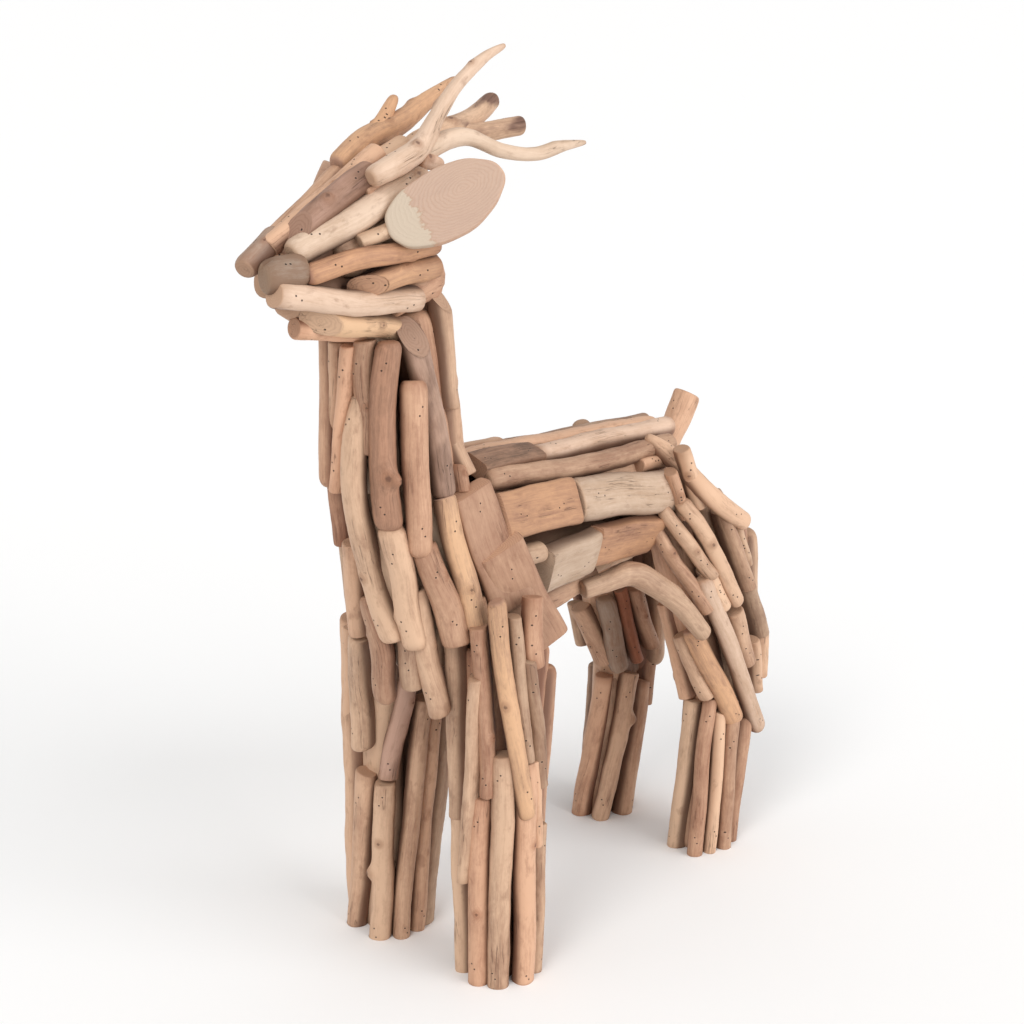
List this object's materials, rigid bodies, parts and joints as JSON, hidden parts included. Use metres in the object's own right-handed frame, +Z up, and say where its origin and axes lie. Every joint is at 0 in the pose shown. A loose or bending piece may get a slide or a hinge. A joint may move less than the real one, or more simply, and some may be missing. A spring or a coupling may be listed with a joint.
{
  "type": "wooden stick deer sculpture",
  "caption": "Standing deer sculpture built of driftwood sticks and boards laid over the body, with branch antlers and slice ears; stands on its feet.",
  "frame": {"origin": "on the floor, under the middle of the bounding box", "axes": "+Z up, -Y towards the nose, +X towards the deer's left side"},
  "size_m": [0.1401, 0.3778, 0.5014],
  "materials": {
    "driftwood_pale": "weathered, unfinished",
    "driftwood_tan": "weathered, unfinished",
    "driftwood_orange": "weathered, unfinished",
    "driftwood_pink": "weathered, unfinished",
    "driftwood_grey": "weathered, unfinished",
    "driftwood_dark": "weathered, unfinished",
    "driftwood_rough": "weathered, unfinished",
    "red_bark": "weathered, unfinished",
    "slice_face": "weathered, unfinished"
  },
  "bodies": {
    "root": {"antler_left": "driftwood_pale", "antler_right": "driftwood_orange", "antler_middle": "driftwood_rough", "ear_left": "slice_face", "ear_right": "slice_face", "tail_stub": "driftwood_tan", "belly_branch": "driftwood_tan", "bridge_stick": "driftwood_tan", "brow_stick_left": "driftwood_pink", "temple_stick_left": "driftwood_pale", "cheek_stick_left": "driftwood_orange", "cheek_back_stick_left": "driftwood_orange", "jaw_stick_left": "driftwood_pale", "chin_stick_left": "driftwood_orange", "nose_knob": "driftwood_grey", "nostril_stick_right": "driftwood_grey", "nape_stick_left": "driftwood_tan", "throat_stick_long": "driftwood_tan", "throat_stick_knotted": "driftwood_dark", "breast_stick_bent": "driftwood_tan", "neck_stick_side": "driftwood_pink", "shoulder_board_rear": "driftwood_tan", "shoulder_board_front": "driftwood_tan", "chest_stick_upper": "driftwood_orange", "chest_stick_square": "driftwood_tan", "chest_stick_front": "driftwood_tan", "chest_stick_lower": "driftwood_tan", "breast_post": "driftwood_tan", "withers_board": "driftwood_dark", "back_rail_top": "driftwood_pale", "back_rail_left": "driftwood_tan", "flank_board_front": "driftwood_orange", "flank_stick_round": "driftwood_pale", "flank_block": "driftwood_pale", "flank_board_rear": "driftwood_orange", "rump_branch_left": "driftwood_tan", "haunch_stick_pale": "driftwood_pale", "haunch_stick_upper": "driftwood_tan", "haunch_stick_middle": "driftwood_tan", "haunch_stick_front": "driftwood_tan", "haunch_stick_wide": "driftwood_orange", "thigh_stick_pale": "driftwood_grey", "thigh_stick_bark": "red_bark", "foreleg_left_front_post": "driftwood_tan", "foreleg_left_outer_post": "driftwood_tan", "foreleg_left_long_stick": "driftwood_orange", "foreleg_right_front_post": "driftwood_tan", "foreleg_right_outer_post": "driftwood_tan", "foreleg_right_brown_stick": "driftwood_pink", "shin_left_middle_post": "driftwood_tan", "shin_right_middle_post": "driftwood_tan", "head_sticks": "driftwood_tan", "neck_sticks": "driftwood_tan", "trunk_sticks": "driftwood_tan", "haunch_sticks_left": "driftwood_tan", "haunch_sticks_right": "driftwood_tan", "foreleg_sticks_left": "driftwood_tan", "foreleg_sticks_right": "driftwood_tan", "shin_sticks_left": "driftwood_tan", "shin_sticks_right": "driftwood_tan"}
  },
  "joints": []
}
